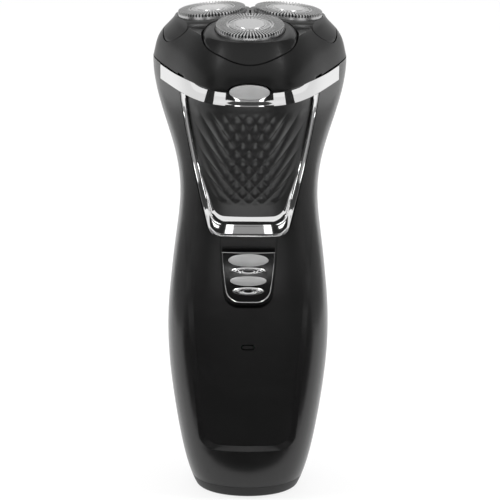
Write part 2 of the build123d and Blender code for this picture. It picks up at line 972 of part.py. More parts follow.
with BuildPart() as shaft_seals:
    for azimuth in head_azimuths:
        axle = outward(azimuth, head_circle)
        rod(axle.X, axle.Y, deck_bottom, deck_top, seal_radius)
        rod(axle.X, axle.Y, deck_bottom, deck_top, spindle_radius + running_gap, mode=Mode.SUBTRACT)
save(shaft_seals, "shaft_seals")

# Release button with its stem and return spring
with BuildPart() as release_button:
    with BuildSketch(Plane.XZ.offset(button_back)):
        with Locations((0, parting_height)):
            Ellipse(button_half_width, button_half_height)
    extrude(amount=button_depth)
    fillet(faces().sort_by(Axis.Y)[0].edges(), button_edge)
    block(
        (-stem_half, -button_back - fit, stem_level - stem_height / 2),
        (stem_half, -button_back + stem_length, stem_level + stem_height / 2),
    )
save(release_button, "release_button")

with BuildPart() as release_spring:
    with BuildSketch(Plane.XZ.offset(-spring_seat + fit)):
        with Locations((0, stem_level)):
            Circle(release_spring_radius)
            Circle(release_spring_radius - spring_wire, mode=Mode.SUBTRACT)
    extrude(amount=release_spring_length - 2 * fit)
save(release_spring, "release_spring")

# Shaving head cover, open below, with a well for each pod, the hinge knuckle and a notch for the button
with BuildPart() as cover_hollow:
    add(dome(head_wall))
    block(
        (-reach, -reach, cover_bottom),
        (reach, reach, hollow_top),
        mode=Mode.INTERSECT,
    )

with BuildPart() as head_cover:
    add(dome_outer)
    block((-reach, -reach, cover_bottom), (reach, reach, cover_top), mode=Mode.INTERSECT)
    add(cover_hollow.part, mode=Mode.SUBTRACT)
    for azimuth in head_azimuths:
        with BuildSketch(head_plane(azimuth)):
            Ellipse(pod_half_width, pod_half_depth)
        extrude(amount=reach / 2, both=True, mode=Mode.SUBTRACT)
    cross_rod(hinge_back, hinge_height, -knuckle_half, knuckle_half, knuckle_radius)
    block(
        (-knuckle_half, hinge_back - knuckle_radius, hinge_height - knuckle_radius),
        (knuckle_half, hinge_back, hinge_height + knuckle_radius),
    )
    ear_room = ear_width + 2 * slide_gap
    for low_end in (knuckle_half, -knuckle_half - ear_room):
        high_end = low_end + ear_room
        cross_rod(
            hinge_back, hinge_height, low_end, high_end, knuckle_radius + slide_gap, mode=Mode.SUBTRACT
        )
        block(
            (low_end, hinge_back - knuckle_radius - slide_gap, 0),
            (high_end, reach, hinge_height),
            mode=Mode.SUBTRACT,
        )
    cross_rod(hinge_back, hinge_height, -reach, reach, hinge_pin_radius + running_gap, mode=Mode.SUBTRACT)
    add(button_prism(slide_gap), mode=Mode.SUBTRACT)
    for side in (-1, 1):
        block(
            (side * notch_half - notch_width / 2, -reach, cover_bottom),
            (side * notch_half + notch_width / 2, 0, cover_bottom + notch_height),
            mode=Mode.SUBTRACT,
        )
save(head_cover, "head_cover")

pin_end = knuckle_half + slide_gap + ear_width
with BuildPart() as head_hinge_pin:
    cross_rod(hinge_back, hinge_height, -pin_end, pin_end, hinge_pin_radius)
save(head_hinge_pin, "head_hinge_pin")

# Head frame: the plate inside the cover that the pod springs stand on
with BuildPart() as head_frame:
    block((-reach, -reach, frame_bottom), (reach, reach, frame_top))
    add(dome(head_wall + seat_gap), mode=Mode.INTERSECT)
    add(button_room.part, mode=Mode.SUBTRACT)
    for azimuth in head_azimuths:
        axle = outward(azimuth, head_circle)
        rod(axle.X, axle.Y, frame_bottom, frame_top, frame_window, mode=Mode.SUBTRACT)
save(head_frame, "head_frame")

# One shaving cap, cutter, centre disc, retainer and pod spring, upright at the coupling of a head
flange_radius = cap_radius + cap_flange
flange_top = pod_top - pod_roof - fit
flange_bottom = flange_top - flange_height
retainer_radius = flange_radius - fit
retainer_top = flange_bottom - fit
retainer_bottom = retainer_top - retainer_height
skin_bottom = cap_top - cap_skin
disc_seat = cap_top - disc_thickness
with BuildPart() as cap_blank:
    with BuildSketch(Plane.XZ):
        with BuildLine():
            Polyline(
                (cap_radius - cap_wall, flange_bottom),
                (flange_radius, flange_bottom),
                (flange_radius, flange_top),
                (cap_radius, flange_top),
                (cap_radius, cap_top - cap_edge),
                (cap_radius - cap_edge, cap_top),
                (groove_radius + groove_width / 2, cap_top),
                (groove_radius + groove_width / 2, cap_top - groove_depth),
                (groove_radius - groove_width / 2, cap_top - groove_depth),
                (groove_radius - groove_width / 2, cap_top),
                (disc_radius + fit, cap_top),
                (disc_radius + fit, disc_seat),
                (disc_stub, disc_seat),
                (disc_stub, disc_seat - cap_skin),
                (disc_radius + cap_wall, disc_seat - cap_skin),
                (disc_radius + cap_wall, skin_bottom),
                (cap_radius - cap_wall, skin_bottom),
                close=True,
            )
        make_face()
    revolve(axis=Axis.Z)
    outer_start = groove_radius + groove_width
    outer_end = cap_radius + cap_flange
    with Locations((0, 0, skin_bottom - slot_rim)):
        with PolarLocations((outer_start + outer_end) / 2, outer_slots):
            Box(
                outer_end - outer_start,
                slot_width,
                cap_skin + 2 * slot_rim,
                align=(Align.CENTER, Align.CENTER, Align.MIN),
                mode=Mode.SUBTRACT,
            )
    inner_start = disc_radius + cap_wall + 2 * fit
    inner_end = groove_radius - groove_width
    with Locations((0, 0, skin_bottom - fit)):
        with PolarLocations((inner_start + inner_end) / 2, inner_slots):
            Box(
                inner_end - inner_start,
                slot_width,
                cap_skin + 2 * fit,
                align=(Align.CENTER, Align.CENTER, Align.MIN),
                mode=Mode.SUBTRACT,
            )

blade_top = skin_bottom - blade_gap
cutter_top = flange_top
with BuildPart() as cutter_blank:
    rod(0, 0, -tip_half_length, cutter_top - cutter_disc, cutter_hub)
    rod(0, 0, cutter_top - cutter_disc, cutter_top, cutter_radius)
    with Locations((0, 0, cutter_top)):
        with PolarLocations((blade_inner + cutter_radius) / 2, blade_count):
            Box(
                cutter_radius - blade_inner,
                blade_width,
                blade_top - cutter_top,
                align=(Align.CENTER, Align.CENTER, Align.MIN),
            )
    with BuildSketch(Plane.XY.offset(-tip_half_length)):
        RegularPolygon(tip_flats / 2 + socket_gap, tip_sides, major_radius=False)
    extrude(amount=2 * tip_half_length + pod_travel + socket_gap, mode=Mode.SUBTRACT)

with BuildPart() as disc_blank:
    rod(0, 0, disc_seat, cap_top + disc_crown, disc_radius)
    fillet(faces().sort_by(Axis.Z)[-1].edges(), disc_edge)
    rod(0, 0, disc_seat - cap_skin, disc_seat, disc_stub - fit)

with BuildPart() as retainer_blank:
    rod(0, 0, retainer_bottom, retainer_top, retainer_radius)
    rod(0, 0, retainer_bottom, retainer_top, retainer_radius - retainer_width, mode=Mode.SUBTRACT)

spring_radius = retainer_radius - retainer_width / 2 + spring_wire / 2
spring_bottom = (frame_top - coupling_height + spring_radius * sin(head_tilt)) / cos(head_tilt) + fit
with BuildPart() as spring_blank:
    rod(0, 0, spring_bottom, retainer_bottom - fit, spring_radius)
    rod(0, 0, spring_bottom, retainer_bottom - fit, spring_radius - spring_wire, mode=Mode.SUBTRACT)


def placed(blank, plane):
    """A copy of a piece at a head's coupling."""
    with BuildPart() as piece:
        with Locations(plane):
            add(blank.part)
    return piece


lug_top = hollow_top - slide_gap
lug_level = (lug_top - lug_height / 2 - coupling_height) / cos(head_tilt)
lug_middle = lug_radius - lug_length / 2

# The three heads: pod, cap, disc, retainer, spring and cutter above, drive gear and spindle below
for number, azimuth in enumerate(head_azimuths, start=1):
    plane = head_plane(azimuth)
    axle = outward(azimuth, head_circle)
    side_gap = pod_gap / (2 * sin(pi / head_count))
    with BuildPart() as pod_oval:
        with BuildSketch(plane.offset(pod_top)):
            Ellipse(pod_half_width - slide_gap, pod_half_depth - slide_gap)
        extrude(amount=-reach)
        fillet(faces().sort_by(Axis.Z)[-1].edges(), pod_shoulder)
    with BuildPart() as head_pod:
        add(dome_outer)
        add(pod_oval.part, mode=Mode.INTERSECT)
        with BuildSketch(Plane.XY.offset(parting_height + pod_bottom_rise)):
            with BuildLine():
                apex = outward(azimuth, side_gap)
                Polyline(
                    apex,
                    apex + outward(azimuth + pi / head_count, reach),
                    apex + outward(azimuth - pi / head_count, reach),
                    close=True,
                )
            make_face()
        extrude(amount=reach, mode=Mode.INTERSECT)
        with Locations(plane.offset(lug_level)):
            with Locations((lug_middle, lug_shift, 0), (-lug_middle, lug_shift, 0)):
                Box(lug_length, lug_width, lug_height)
        with Locations(plane.offset(flange_top + fit)):
            Cylinder(
                flange_radius + fit,
                reach,
                align=(Align.CENTER, Align.CENTER, Align.MAX),
                mode=Mode.SUBTRACT,
            )
        with Locations(plane):
            Cylinder(cap_radius + slide_gap, reach, mode=Mode.SUBTRACT)
    save(head_pod, f"head_pod_{number}")
    save(placed(cap_blank, plane), f"shaving_cap_{number}")
    save(placed(disc_blank, plane), f"cap_disc_{number}")
    save(placed(retainer_blank, plane), f"cap_retainer_{number}")
    save(placed(spring_blank, plane), f"pod_spring_{number}")
    save(placed(cutter_blank, plane), f"cutter_{number}")

    with BuildPart() as drive_gear:
        with BuildSketch(Plane(origin=(axle.X, axle.Y, gear_bottom))):
            with BuildLine():
                Polyline(*gear_corners(gear_teeth, azimuth + pi / 2 + pi / gear_teeth), close=True)
            make_face()
            Circle(axle_radius + running_gap, mode=Mode.SUBTRACT)
        extrude(amount=gear_width)
    save(drive_gear, f"drive_gear_{number}")

    tip_plane = Plane(origin=(axle.X, axle.Y, coupling_height - tip_half_length), x_dir=plane.x_dir)
    axle_room = axle_radius + running_gap
    with BuildPart() as drive_spindle:
        rod(axle.X, axle.Y, gear_top, deck_top + collar_rise, spindle_radius)
        rod(axle.X, axle.Y, gear_top, coupling_height, spindle_neck)
        with BuildSketch(tip_plane):
            RegularPolygon(tip_flats / 2, tip_sides, major_radius=False)
        extrude(amount=2 * tip_half_length)
        rod(axle.X, axle.Y, gear_top, deck_bottom + running_gap, axle_room, mode=Mode.SUBTRACT)
    save(drive_spindle, f"drive_spindle_{number}")
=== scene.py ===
import json
from math import atan2, cos, log, pi, radians, sin

import bmesh
import bpy
from mathutils import Matrix, Vector
from mathutils.bvhtree import BVHTree


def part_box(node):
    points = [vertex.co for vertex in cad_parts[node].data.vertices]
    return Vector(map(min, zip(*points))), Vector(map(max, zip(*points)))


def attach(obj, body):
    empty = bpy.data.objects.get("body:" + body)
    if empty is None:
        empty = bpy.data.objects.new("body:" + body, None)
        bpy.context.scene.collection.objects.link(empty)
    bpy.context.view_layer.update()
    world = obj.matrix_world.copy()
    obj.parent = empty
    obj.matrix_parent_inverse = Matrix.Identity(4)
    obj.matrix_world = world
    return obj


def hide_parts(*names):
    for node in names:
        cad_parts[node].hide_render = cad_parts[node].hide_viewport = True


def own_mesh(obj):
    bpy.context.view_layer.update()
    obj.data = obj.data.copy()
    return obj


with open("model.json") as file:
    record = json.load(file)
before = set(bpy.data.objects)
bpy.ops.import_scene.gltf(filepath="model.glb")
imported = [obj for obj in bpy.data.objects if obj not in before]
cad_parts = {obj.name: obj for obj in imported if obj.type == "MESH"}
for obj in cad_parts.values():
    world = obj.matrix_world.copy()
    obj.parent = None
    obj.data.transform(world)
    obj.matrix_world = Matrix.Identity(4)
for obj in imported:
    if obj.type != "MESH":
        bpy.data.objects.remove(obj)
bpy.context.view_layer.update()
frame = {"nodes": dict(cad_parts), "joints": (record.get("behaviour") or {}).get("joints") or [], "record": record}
nodes = frame["nodes"]
record = frame["record"]
body_of = {node: body for body, members in record["behaviour"]["bodies"].items() for node in members}
slot_of = {part["node"]: part["material_slot"] for part in record["subparts"]}
joints = {joint["name"]: joint for joint in frame["joints"]}
mm = 0.001
HEADS = (1, 2, 3)

# Camera, as the photograph was taken: its place, the point it looks at and its framing in pixels
CAMERA_BACK = 770 * mm
CAMERA_HEIGHT = 350 * mm
AIM_HEIGHT = 80.62 * mm
IMAGE_SIDE = 500
FOCAL_PIXELS = 2542.27
AXIS_PIXEL = 248.5
ROLL = radians(0.4)
SENSOR = 36.0

# Merging and shading of the surfaces, and how far the edge of a thin sheet turns into the piece behind it
WELD = 0.002 * mm
CREASE = radians(32)
SHEET_EDGE = 0.25 * mm


class Value:
    """A socket in a Python expression: each operator adds a Math node."""

    def __init__(self, finish, socket):
        self.finish = finish
        self.socket = socket

    def _math(self, operation, *values):
        return self.finish.node("ShaderNodeMath", {"operation": operation}, dict(enumerate(values)))

    def __add__(self, other):
        return self._math("ADD", self, other)

    def __sub__(self, other):
        return self._math("SUBTRACT", self, other)

    def __mul__(self, other):
        return self._math("MULTIPLY", self, other)

    __radd__ = __add__
    __rmul__ = __mul__


class Finish:
    """A material in the making, with the shader that it ends in."""

    def __init__(self, name, sockets):
        self.material = bpy.data.materials.new(name)
        self.material.use_nodes = True
        self.tree = self.material.node_tree
        self.shader = self.tree.nodes["Principled BSDF"]
        self.place = self.node("ShaderNodeTexCoord", output="Object")
        self.set(sockets)

    def node(self, kind, settings=None, inputs=None, output=0):
        """Adds a node with some settings and inputs, and gives one of its outputs."""
        made = self.tree.nodes.new(kind)
        for name, value in (settings or {}).items():
            setattr(made, name, value)
        for key, value in (inputs or {}).items():
            self.feed(made.inputs[key], value)
        return Value(self, made.outputs[output])

    def feed(self, socket, value):
        """Links a value to a socket, or sets a constant on it."""
        if isinstance(value, Value):
            self.tree.links.new(value.socket, socket)
        else:
            socket.default_value = value

    def set(self, sockets):
        """Feeds sockets of the shader."""
        for key, value in sockets.items():
            self.feed(self.shader.inputs[key], value)

    def noise(self, size, detail=2.0, place=None):
        """Soft noise from 0 to 1 with features of a size in metres."""
        inputs = {"Vector": place or self.place, "Scale": 1 / size, "Detail": detail}
        return self.node("ShaderNodeTexNoise", inputs=inputs)

    def cells(self, size):
        """Random grey for each cell of a size in metres."""
        inputs = {"Vector": self.place, "Scale": 1 / size}
        return self.node("ShaderNodeTexVoronoi", inputs=inputs, output="Color")

    def mixed(self, factor, first, second):
        """Colour between two colours."""
        inputs = {"Factor": factor, 6: first, 7: second}
        return self.node("ShaderNodeMix", {"data_type": "RGBA"}, inputs, 2)

    def bump(self, height, distance):
        """Normal of a surface raised by a height from 0 to 1 times a distance in metres."""
        inputs = {"Height": height, "Distance": distance}
        return self.node("ShaderNodeBump", inputs=inputs, output="Normal")


def grey(level):
    return (level, level, level, 1)


def coloured(red, green, blue):
    return (red, green, blue, 1)


# Finishes: sizes of clouds, specks, marks and flakes, and how much they change shade and gloss
FINE_DETAIL = 3.0
PLASTIC_CLOUD = 9 * mm
PLASTIC_SPECK = 0.25 * mm
PLASTIC_SHADE = 0.82
PLASTIC_CLOUD_GLOSS = 0.06
PLASTIC_SPECK_GLOSS = 0.05
METAL_CLOUD = 5 * mm
METAL_MARK = 0.2 * mm
METAL_CLOUD_GLOSS = 0.3
METAL_MARK_GLOSS = 0.4
PAINT_CLOUD = 4 * mm
PAINT_SPECK = 0.15 * mm
PAINT_GLOSS = 0.1
SHELL_CLOUD = 12 * mm
SHELL_FLAKE = 0.22 * mm
SHELL_GLOSS = 0.08


def plastic(name, colour, roughness, grain=0.0, level=0.5):
    """Moulded plastic: a slightly uneven gloss, a fine grain and faint changes of shade."""
    finish = Finish(name, {"Specular IOR Level": level})
    cloud = finish.noise(PLASTIC_CLOUD)
    speck = finish.noise(PLASTIC_SPECK, FINE_DETAIL)
    darker = tuple(PLASTIC_SHADE * channel for channel in colour[:3]) + (1,)
    uneven = PLASTIC_CLOUD_GLOSS * (cloud - 0.5) + PLASTIC_SPECK_GLOSS * (speck - 0.5)
    finish.set({"Base Color": finish.mixed(cloud, darker, colour), "Roughness": roughness + uneven})
    if grain:
        finish.set({"Normal": finish.bump(speck, grain)})
    return finish.material


def metal(name, colour, roughness, scratch=0.0, streak=(1, 1, 1)):
    """Bare or plated metal: its gloss wanders a little, with fine marks along a direction."""
    finish = Finish(name, {"Metallic": 1.0, "Base Color": colour})
    stretched = finish.node("ShaderNodeMapping", inputs={"Vector": finish.place, "Scale": streak})
    marks = finish.noise(METAL_MARK, FINE_DETAIL, stretched)
    cloud = finish.noise(METAL_CLOUD)
    uneven = METAL_CLOUD_GLOSS * (cloud - 0.5) + METAL_MARK_GLOSS * (marks - 0.5)
    finish.set({"Roughness": roughness + roughness * uneven})
    if scratch:
        finish.set({"Normal": finish.bump(marks, scratch)})
    return finish.material


def silver_paint():
    """Satin silver paint: half metal flakes, half grey, with a soft unevenness."""
    finish = Finish("silver_paint", {"Metallic": 0.4})
    cloud = finish.noise(PAINT_CLOUD)
    speck = finish.noise(PAINT_SPECK, FINE_DETAIL)
    finish.set({
        "Base Color": finish.mixed(cloud, grey(0.36), grey(0.46)),
        "Roughness": 0.42 + PAINT_GLOSS * (speck - 0.5),
        "Normal": finish.bump(speck, 0.002 * mm),
    })
    return finish.material


def sparkling_black():
    """Black of the handle: satin, with fine flakes that glint in the highlights."""
    finish = Finish("shell_black", {"Specular IOR Level": 0.5})
    flakes = finish.cells(SHELL_FLAKE)
    cloud = finish.noise(SHELL_CLOUD)
    finish.set({
        "Base Color": finish.mixed(cloud, grey(0.006), grey(0.009)),
        "Roughness": 0.24 + SHELL_GLOSS * (cloud - 0.5),
        "Normal": finish.bump(flakes, 0.004 * mm),
    })
    return finish.material


FINISHES = {
    "shell_black": sparkling_black(),
    "base_black": plastic("base_black", grey(0.014), 0.45, 0.004 * mm, level=0.3),
    "chrome_trim": metal("chrome_trim", grey(0.78), 0.05),
    "inlay_soft": plastic("inlay_soft", grey(0.014), 0.3, 0.002 * mm, level=0.8),
    "slider_gloss": plastic("slider_gloss", grey(0.006), 0.08),
    "silver_paint": silver_paint(),
    "head_black": plastic("head_black", grey(0.008), 0.3, 0.002 * mm, level=0.18),
    "cap_steel": metal("cap_steel", grey(0.5), 0.28, 0.002 * mm),
    "polished_steel": metal("polished_steel", grey(0.5), 0.24),
    # Cutter steel is painted near black as painted shade, so the slots of the caps read dark; the real cutters are
    # bright steel
    "cutter_steel": metal("cutter_steel", grey(0.06), 0.5, 0.002 * mm),
    "machine_steel": metal("machine_steel", grey(0.5), 0.28, 0.002 * mm),
    "spring_steel": metal("spring_steel", grey(0.42), 0.22),
    "gear_plastic": plastic("gear_plastic", coloured(0.75, 0.73, 0.68), 0.4, 0.002 * mm),
    "inner_frame": plastic("inner_frame", grey(0.08), 0.5, 0.003 * mm),
    "seal_rubber": plastic("seal_rubber", grey(0.025), 0.6, 0.004 * mm),
    "motor_case": metal("motor_case", grey(0.5), 0.35, 0.002 * mm, (1, 1, 0.1)),
    "lead_sleeve": plastic("lead_sleeve", coloured(0.4, 0.03, 0.02), 0.4),
    "battery_wrap": plastic("battery_wrap", coloured(0.03, 0.2, 0.09), 0.3),
    "contact_metal": metal("contact_metal", coloured(0.72, 0.58, 0.3), 0.25),
    "board_green": plastic("board_green", coloured(0.015, 0.12, 0.045), 0.3),
    "switch_case": plastic("switch_case", grey(0.03), 0.4),
    "window_smoke": plastic("window_smoke", grey(0.012), 0.2),
    "lamp_body": plastic("lamp_body", coloured(0.72, 0.76, 0.72), 0.2),
}


def shade(bm):
    """Smooth shading with creases where faces meet at a clear angle."""
    for face in bm.faces:
        face.smooth = True
    for edge in bm.edges:
        edge.smooth = edge.is_manifold and edge.calc_face_angle() < CREASE


def surface_of(node):
    """Merged copy of a node's surface."""
    bm = bmesh.new()
    bm.from_mesh(nodes[node].data)
    bmesh.ops.remove_doubles(bm, verts=bm.verts, dist=WELD)
    return bm


remade = set()


def piece(name, bm, slot, body, *replaced):
    """Makes a bmesh a piece of the shaver, with a slot's finish, on a body, in place of some nodes."""
    mesh = bpy.data.meshes.new(name)
    bm.to_mesh(mesh)
    bm.free()
    mesh.materials.append(FINISHES[slot])
    made = bpy.data.objects.new(name, mesh)
    bpy.context.scene.collection.objects.link(made)
    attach(made, body)
    if replaced:
        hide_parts(*replaced)
        remade.update(replaced)
    return made


def dress(node):
    """Smooth-shaded copy of a node, in its own finish."""
    bm = surface_of(node)
    shade(bm)
    piece(node + "_surface", bm, slot_of[node], body_of[node], node)


def rays_on(*names):
    """Depth of the front of some nodes at a point of the front view, evened out over a stretch of height."""
    bm = bmesh.new()
    for name in names:
        bm.from_mesh(nodes[name].data)
    tree = BVHTree.FromBMesh(bm)
    bm.free()

    def depth(x, z, stretch=0.0):
        found = []
        for step in (0, stretch / 2, stretch):
            starts = [Vector((x, -1, level)) for level in (z - step, z + step)]
            pair = [tree.ray_cast(start, Vector((0, 1, 0)))[0] for start in starts]
            if all(pair):
                found += [hit.y for hit in pair]
        return sum(found) / len(found)

    return depth


def sheet(columns, rows, place):
    """Grid whose corners are (0, 0) and (1, 1), each vertex moved to its place."""
    bm = bmesh.new()
    bmesh.ops.create_grid(bm, x_segments=columns, y_segments=rows, size=0.5)
    for vertex in bm.verts:
        vertex.co = place(vertex.co.x + 0.5, vertex.co.y + 0.5)
    return bm


def skirted(bm, inwards):
    """Turns the border of a sheet inwards, by a step for each vertex, and shades it."""
    rim = [edge for edge in bm.edges if edge.is_boundary]
    for item in bmesh.ops.extrude_edge_only(bm, edges=rim)["geom"]:
        if isinstance(item, bmesh.types.BMVert):
            item.co += inwards(item.co)
    bmesh.ops.recalc_face_normals(bm, faces=bm.faces)
    shade(bm)
    return bm


def backwards(distance):
    """The same step straight back for every vertex."""
    return lambda point: Vector((0, distance, 0))


def ramp(value, low, high):
    """Smooth step from 0 to 1."""
    share = min(max((value - low) / (high - low), 0), 1)
    return share * share * (3 - 2 * share)


def arc_through(low, middle, high):
    """Half width at a height on the arc through three points of the front view."""
    (x1, z1), (x2, z2), (x3, z3) = low, middle, high
    turn = 2 * (x1 * (z2 - z3) + x2 * (z3 - z1) + x3 * (z1 - z2))
    sums = [x * x + z * z for x, z in (low, middle, high)]
    x0 = (sums[0] * (z2 - z3) + sums[1] * (z3 - z1) + sums[2] * (z1 - z2)) / turn
    z0 = (sums[0] * (x3 - x2) + sums[1] * (x1 - x3) + sums[2] * (x2 - x1)) / turn
    radius = ((x1 - x0) ** 2 + (z1 - z0) ** 2) ** 0.5
    side = 1 if x1 > x0 else -1
    return lambda z: x0 + side * max(radius**2 - (z - z0) ** 2, 0) ** 0.5


# Shares of a U that its sides and then its corners take up
SIDE_SHARE = 0.6
CORNER_SHARE = 0.82


class Bend:
    """A U on the front view: two arcs narrowing downwards and a level foot with rounded corners."""

    def __init__(self, top, middle, bottom, halves, corner):
        self.top, self.bottom, self.corner = top, bottom, corner
        self.arc = arc_through((halves[2], bottom), (halves[1], middle), (halves[0], top))
        self.centre_z = bottom + corner
        self.tilt = atan2(self.arc(self.centre_z + mm) - self.arc(self.centre_z), mm)
        self.centre_x = self.arc(self.centre_z) - corner / cos(self.tilt)
        self.turn_z = self.centre_z - corner * sin(self.tilt)

    def half(self, z):
        """Half width at a height."""
        if z > self.turn_z:
            return self.arc(z)
        return self.centre_x + max(self.corner**2 - (self.centre_z - z) ** 2, 0) ** 0.5

    def point(self, along):
        """Point from the upper left end (0) round to the upper right end (1)."""
        side = -1 if along < 0.5 else 1
        share = 1 - abs(2 * along - 1)
        if share < SIDE_SHARE:
            z = self.top + (self.turn_z - self.top) * share / SIDE_SHARE
            return side * self.arc(z), z
        if share < CORNER_SHARE:
            turn = (share - SIDE_SHARE) / (CORNER_SHARE - SIDE_SHARE)
            angle = -self.tilt - turn * (pi / 2 - self.tilt)
            x, z = self.centre_x + self.corner * cos(angle), self.centre_z + self.corner * sin(angle)
            return side * x, z
        return side * self.centre_x * (1 - share) / (1 - CORNER_SHARE), self.bottom


def between(inner, outer, along, across):
    """Point of the front view part of the way from one U to another."""
    ends = zip(inner.point(along), outer.point(along))
    return [first + (second - first) * across for first, second in ends]


# The trim's outline on the front view: half widths at top, middle and foot, corner, and widths of its parts
TRIM_HALVES = (21.6 * mm, 18.6 * mm, 12.3 * mm)
TRIM_MIDDLE_DROP = 18.25 * mm
TRIM_CORNER = 4.0 * mm
TRIM_STRIP = 2.1 * mm
TRIM_FOOT = 6.6 * mm
TRIM_GAP = 0.3 * mm
# Its section: where the crest lies across it, how far the inner edge lies behind it and how the foot swells
CREST = 0.45
INNER_DROP = 0.75 * mm
FOOT_CREST = 0.65 * mm
FOOT_SWELL = 0.6 * mm
FOOT_RISE = 8.0 * mm
BEVEL_POWER = 1.5
OUTER_ROUND = 0.5 * mm
ROUND_SHARE = 0.85
EDGE_SHARE = 0.15
EDGE_MARGIN = 0.12 * mm
TRIM_BACK = 0.8 * mm
EVEN_OUT = 2.0 * mm
TRIM_GRID = (200, 40)


def trim_bend(inset_side, inset_bottom):
    """The trim's outline, drawn in at the sides and at the foot."""
    low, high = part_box("inlay_trim")
    halves = [half - inset_side for half in TRIM_HALVES]
    return Bend(high.z, high.z - TRIM_MIDDLE_DROP, low.z + inset_bottom, halves, TRIM_CORNER)


def bevelled_trim():
    """Chrome trim: a bevel down to the inlay and an outer face that swells forwards at the foot."""
    inner, outer = trim_bend(TRIM_STRIP, TRIM_FOOT), trim_bend(TRIM_GAP, TRIM_GAP)
    depth = rays_on("inlay_trim")

    def place(along, across):
        x, z = between(inner, outer, along, across)
        sample_x, sample_z = between(inner, outer, along, min(max(across, EDGE_SHARE), 1 - EDGE_SHARE))
        y = depth(sample_x, min(sample_z, outer.top - EDGE_MARGIN), EVEN_OUT)
        foot = 1 - ramp(inner.point(along)[1], inner.bottom, inner.bottom + FOOT_RISE)
        if across < CREST:
            drop = (1 - across / CREST) ** BEVEL_POWER
            return Vector((x, y - FOOT_CREST * foot * (1 - drop) + INNER_DROP * drop, z))
        out = (across - CREST) / (1 - CREST)
        y -= foot * (FOOT_CREST + FOOT_SWELL * sin(pi / 2 * out))
        edge = max(out - ROUND_SHARE, 0) / (1 - ROUND_SHARE)
        return Vector((x, y + OUTER_ROUND * (1 - (1 - edge**2) ** 0.5), z))

    bm = skirted(sheet(*TRIM_GRID, place), backwards(TRIM_BACK))
    piece("bevelled_trim", bm, "chrome_trim", "handle", "inlay_trim")


# Diamond relief of the inlay: a diamond's width, its height at the foot and how that grows upwards, the
# relief's height and roundness, and where its two directions fade
DIAMOND_WIDTH = 4.0 * mm
DIAMOND_HEIGHT = 3.6 * mm
DIAMOND_GROWTH = 0.1
RELIEF = 0.5 * mm
RELIEF_SINK = 0.05 * mm
RELIEF_TOP_GAP = 2.5 * mm
RELIEF_FOOT_GAP = 7.5 * mm
RELIEF_FADE = 4.0 * mm
SIDE_GAP = 0.4 * mm
SIDE_FADE = 3.0 * mm
CROSSING_HALF = 7.0 * mm
RIDGE_POWER = 0.7
RELIEF_GRID = (150, 170)


def diamond_relief():
    """Panel of quilted diamonds over the inlay: both diagonals in the middle, one at each side."""
    inner = trim_bend(TRIM_STRIP + EDGE_MARGIN, TRIM_FOOT + EDGE_MARGIN)
    depth = rays_on("grip_inlay")

    def ridge(phase):
        """Rounded roll with a sharp valley, from 0 to 1."""
        return abs(sin(pi * phase)) ** RIDGE_POWER

    def place(across, up):
        z = inner.bottom + (inner.top - EDGE_MARGIN - inner.bottom) * up
        half = inner.half(z) - EDGE_MARGIN
        x = half * (2 * across - 1)
        row = log(1 + DIAMOND_GROWTH * (z - inner.bottom) / DIAMOND_HEIGHT) / DIAMOND_GROWTH
        falling = ridge(x / DIAMOND_WIDTH + row)
        rising = ridge(x / DIAMOND_WIDTH - row)
        left = ramp(-x, -CROSSING_HALF - SIDE_FADE, -CROSSING_HALF + SIDE_FADE)
        right = ramp(x, -CROSSING_HALF - SIDE_FADE, -CROSSING_HALF + SIDE_FADE)
        quilt = (1 - left * (1 - falling)) * (1 - right * (1 - rising))
        fade = ramp(half - abs(x), SIDE_GAP, SIDE_FADE)
        fade *= ramp(inner.top - z, RELIEF_TOP_GAP, RELIEF_TOP_GAP + RELIEF_FADE)
        fade *= ramp(z - inner.bottom, RELIEF_FOOT_GAP - RELIEF_FADE, RELIEF_FOOT_GAP)
        return Vector((x, depth(x, z, EVEN_OUT) - RELIEF_SINK - RELIEF * quilt * fade, z))

    bm = skirted(sheet(*RELIEF_GRID, place), backwards(SHEET_EDGE))
    piece("diamond_relief", bm, "inlay_soft", "handle")


# Ledge along the edge of the sunken front field: the field's outline, and how far the ledge slopes in
FIELD_TOP = 96.0 * mm
FIELD_MIDDLE = 60.1 * mm
FIELD_HALVES = (20.15 * mm, 18.5 * mm, 15.2 * mm)
FIELD_CORNER = 5.5 * mm
FIELD_FOOT = 18.0 * mm
LEDGE_SIDE = 1.6 * mm
LEDGE_FOOT = 1.5 * mm
LEDGE_LIFT = 0.03 * mm
LEDGE_GRID = (200, 6)


def field_ledge():
    """Slope from the sunken field up to the front of the handle, instead of an upright step."""

    def bend(side, foot):
        halves = [half - side for half in FIELD_HALVES]
        return Bend(FIELD_TOP, FIELD_MIDDLE, FIELD_FOOT + foot, halves, FIELD_CORNER)

    inner, outer = bend(LEDGE_SIDE, LEDGE_FOOT), bend(-EDGE_MARGIN, -EDGE_MARGIN)
    depth = rays_on("front_cover")

    def place(along, across):
        x, z = between(inner, outer, along, across)
        ends = [depth(*between(inner, outer, along, end)) for end in (0, 1)]
        return Vector((x, ends[0] + (ends[1] - ends[0]) * across - LEDGE_LIFT, z))

    bm = skirted(sheet(*LEDGE_GRID, place), backwards(SHEET_EDGE))
    piece("field_ledge", bm, "shell_black", "handle")


# Collar band: how far its upper edge lies behind its lower one, where that fades, its wall, its room for the
# button, and the azimuth and step of the search for its ends
BAND_LEAN = 1.5 * mm
BAND_FADE = (radians(30), radians(75))
BAND_BACK = 0.8 * mm
BUTTON_ROOM = 0.3 * mm
BAND_START = radians(80)
BAND_STEP = radians(0.25)
BAND_GRID = (240, 10)


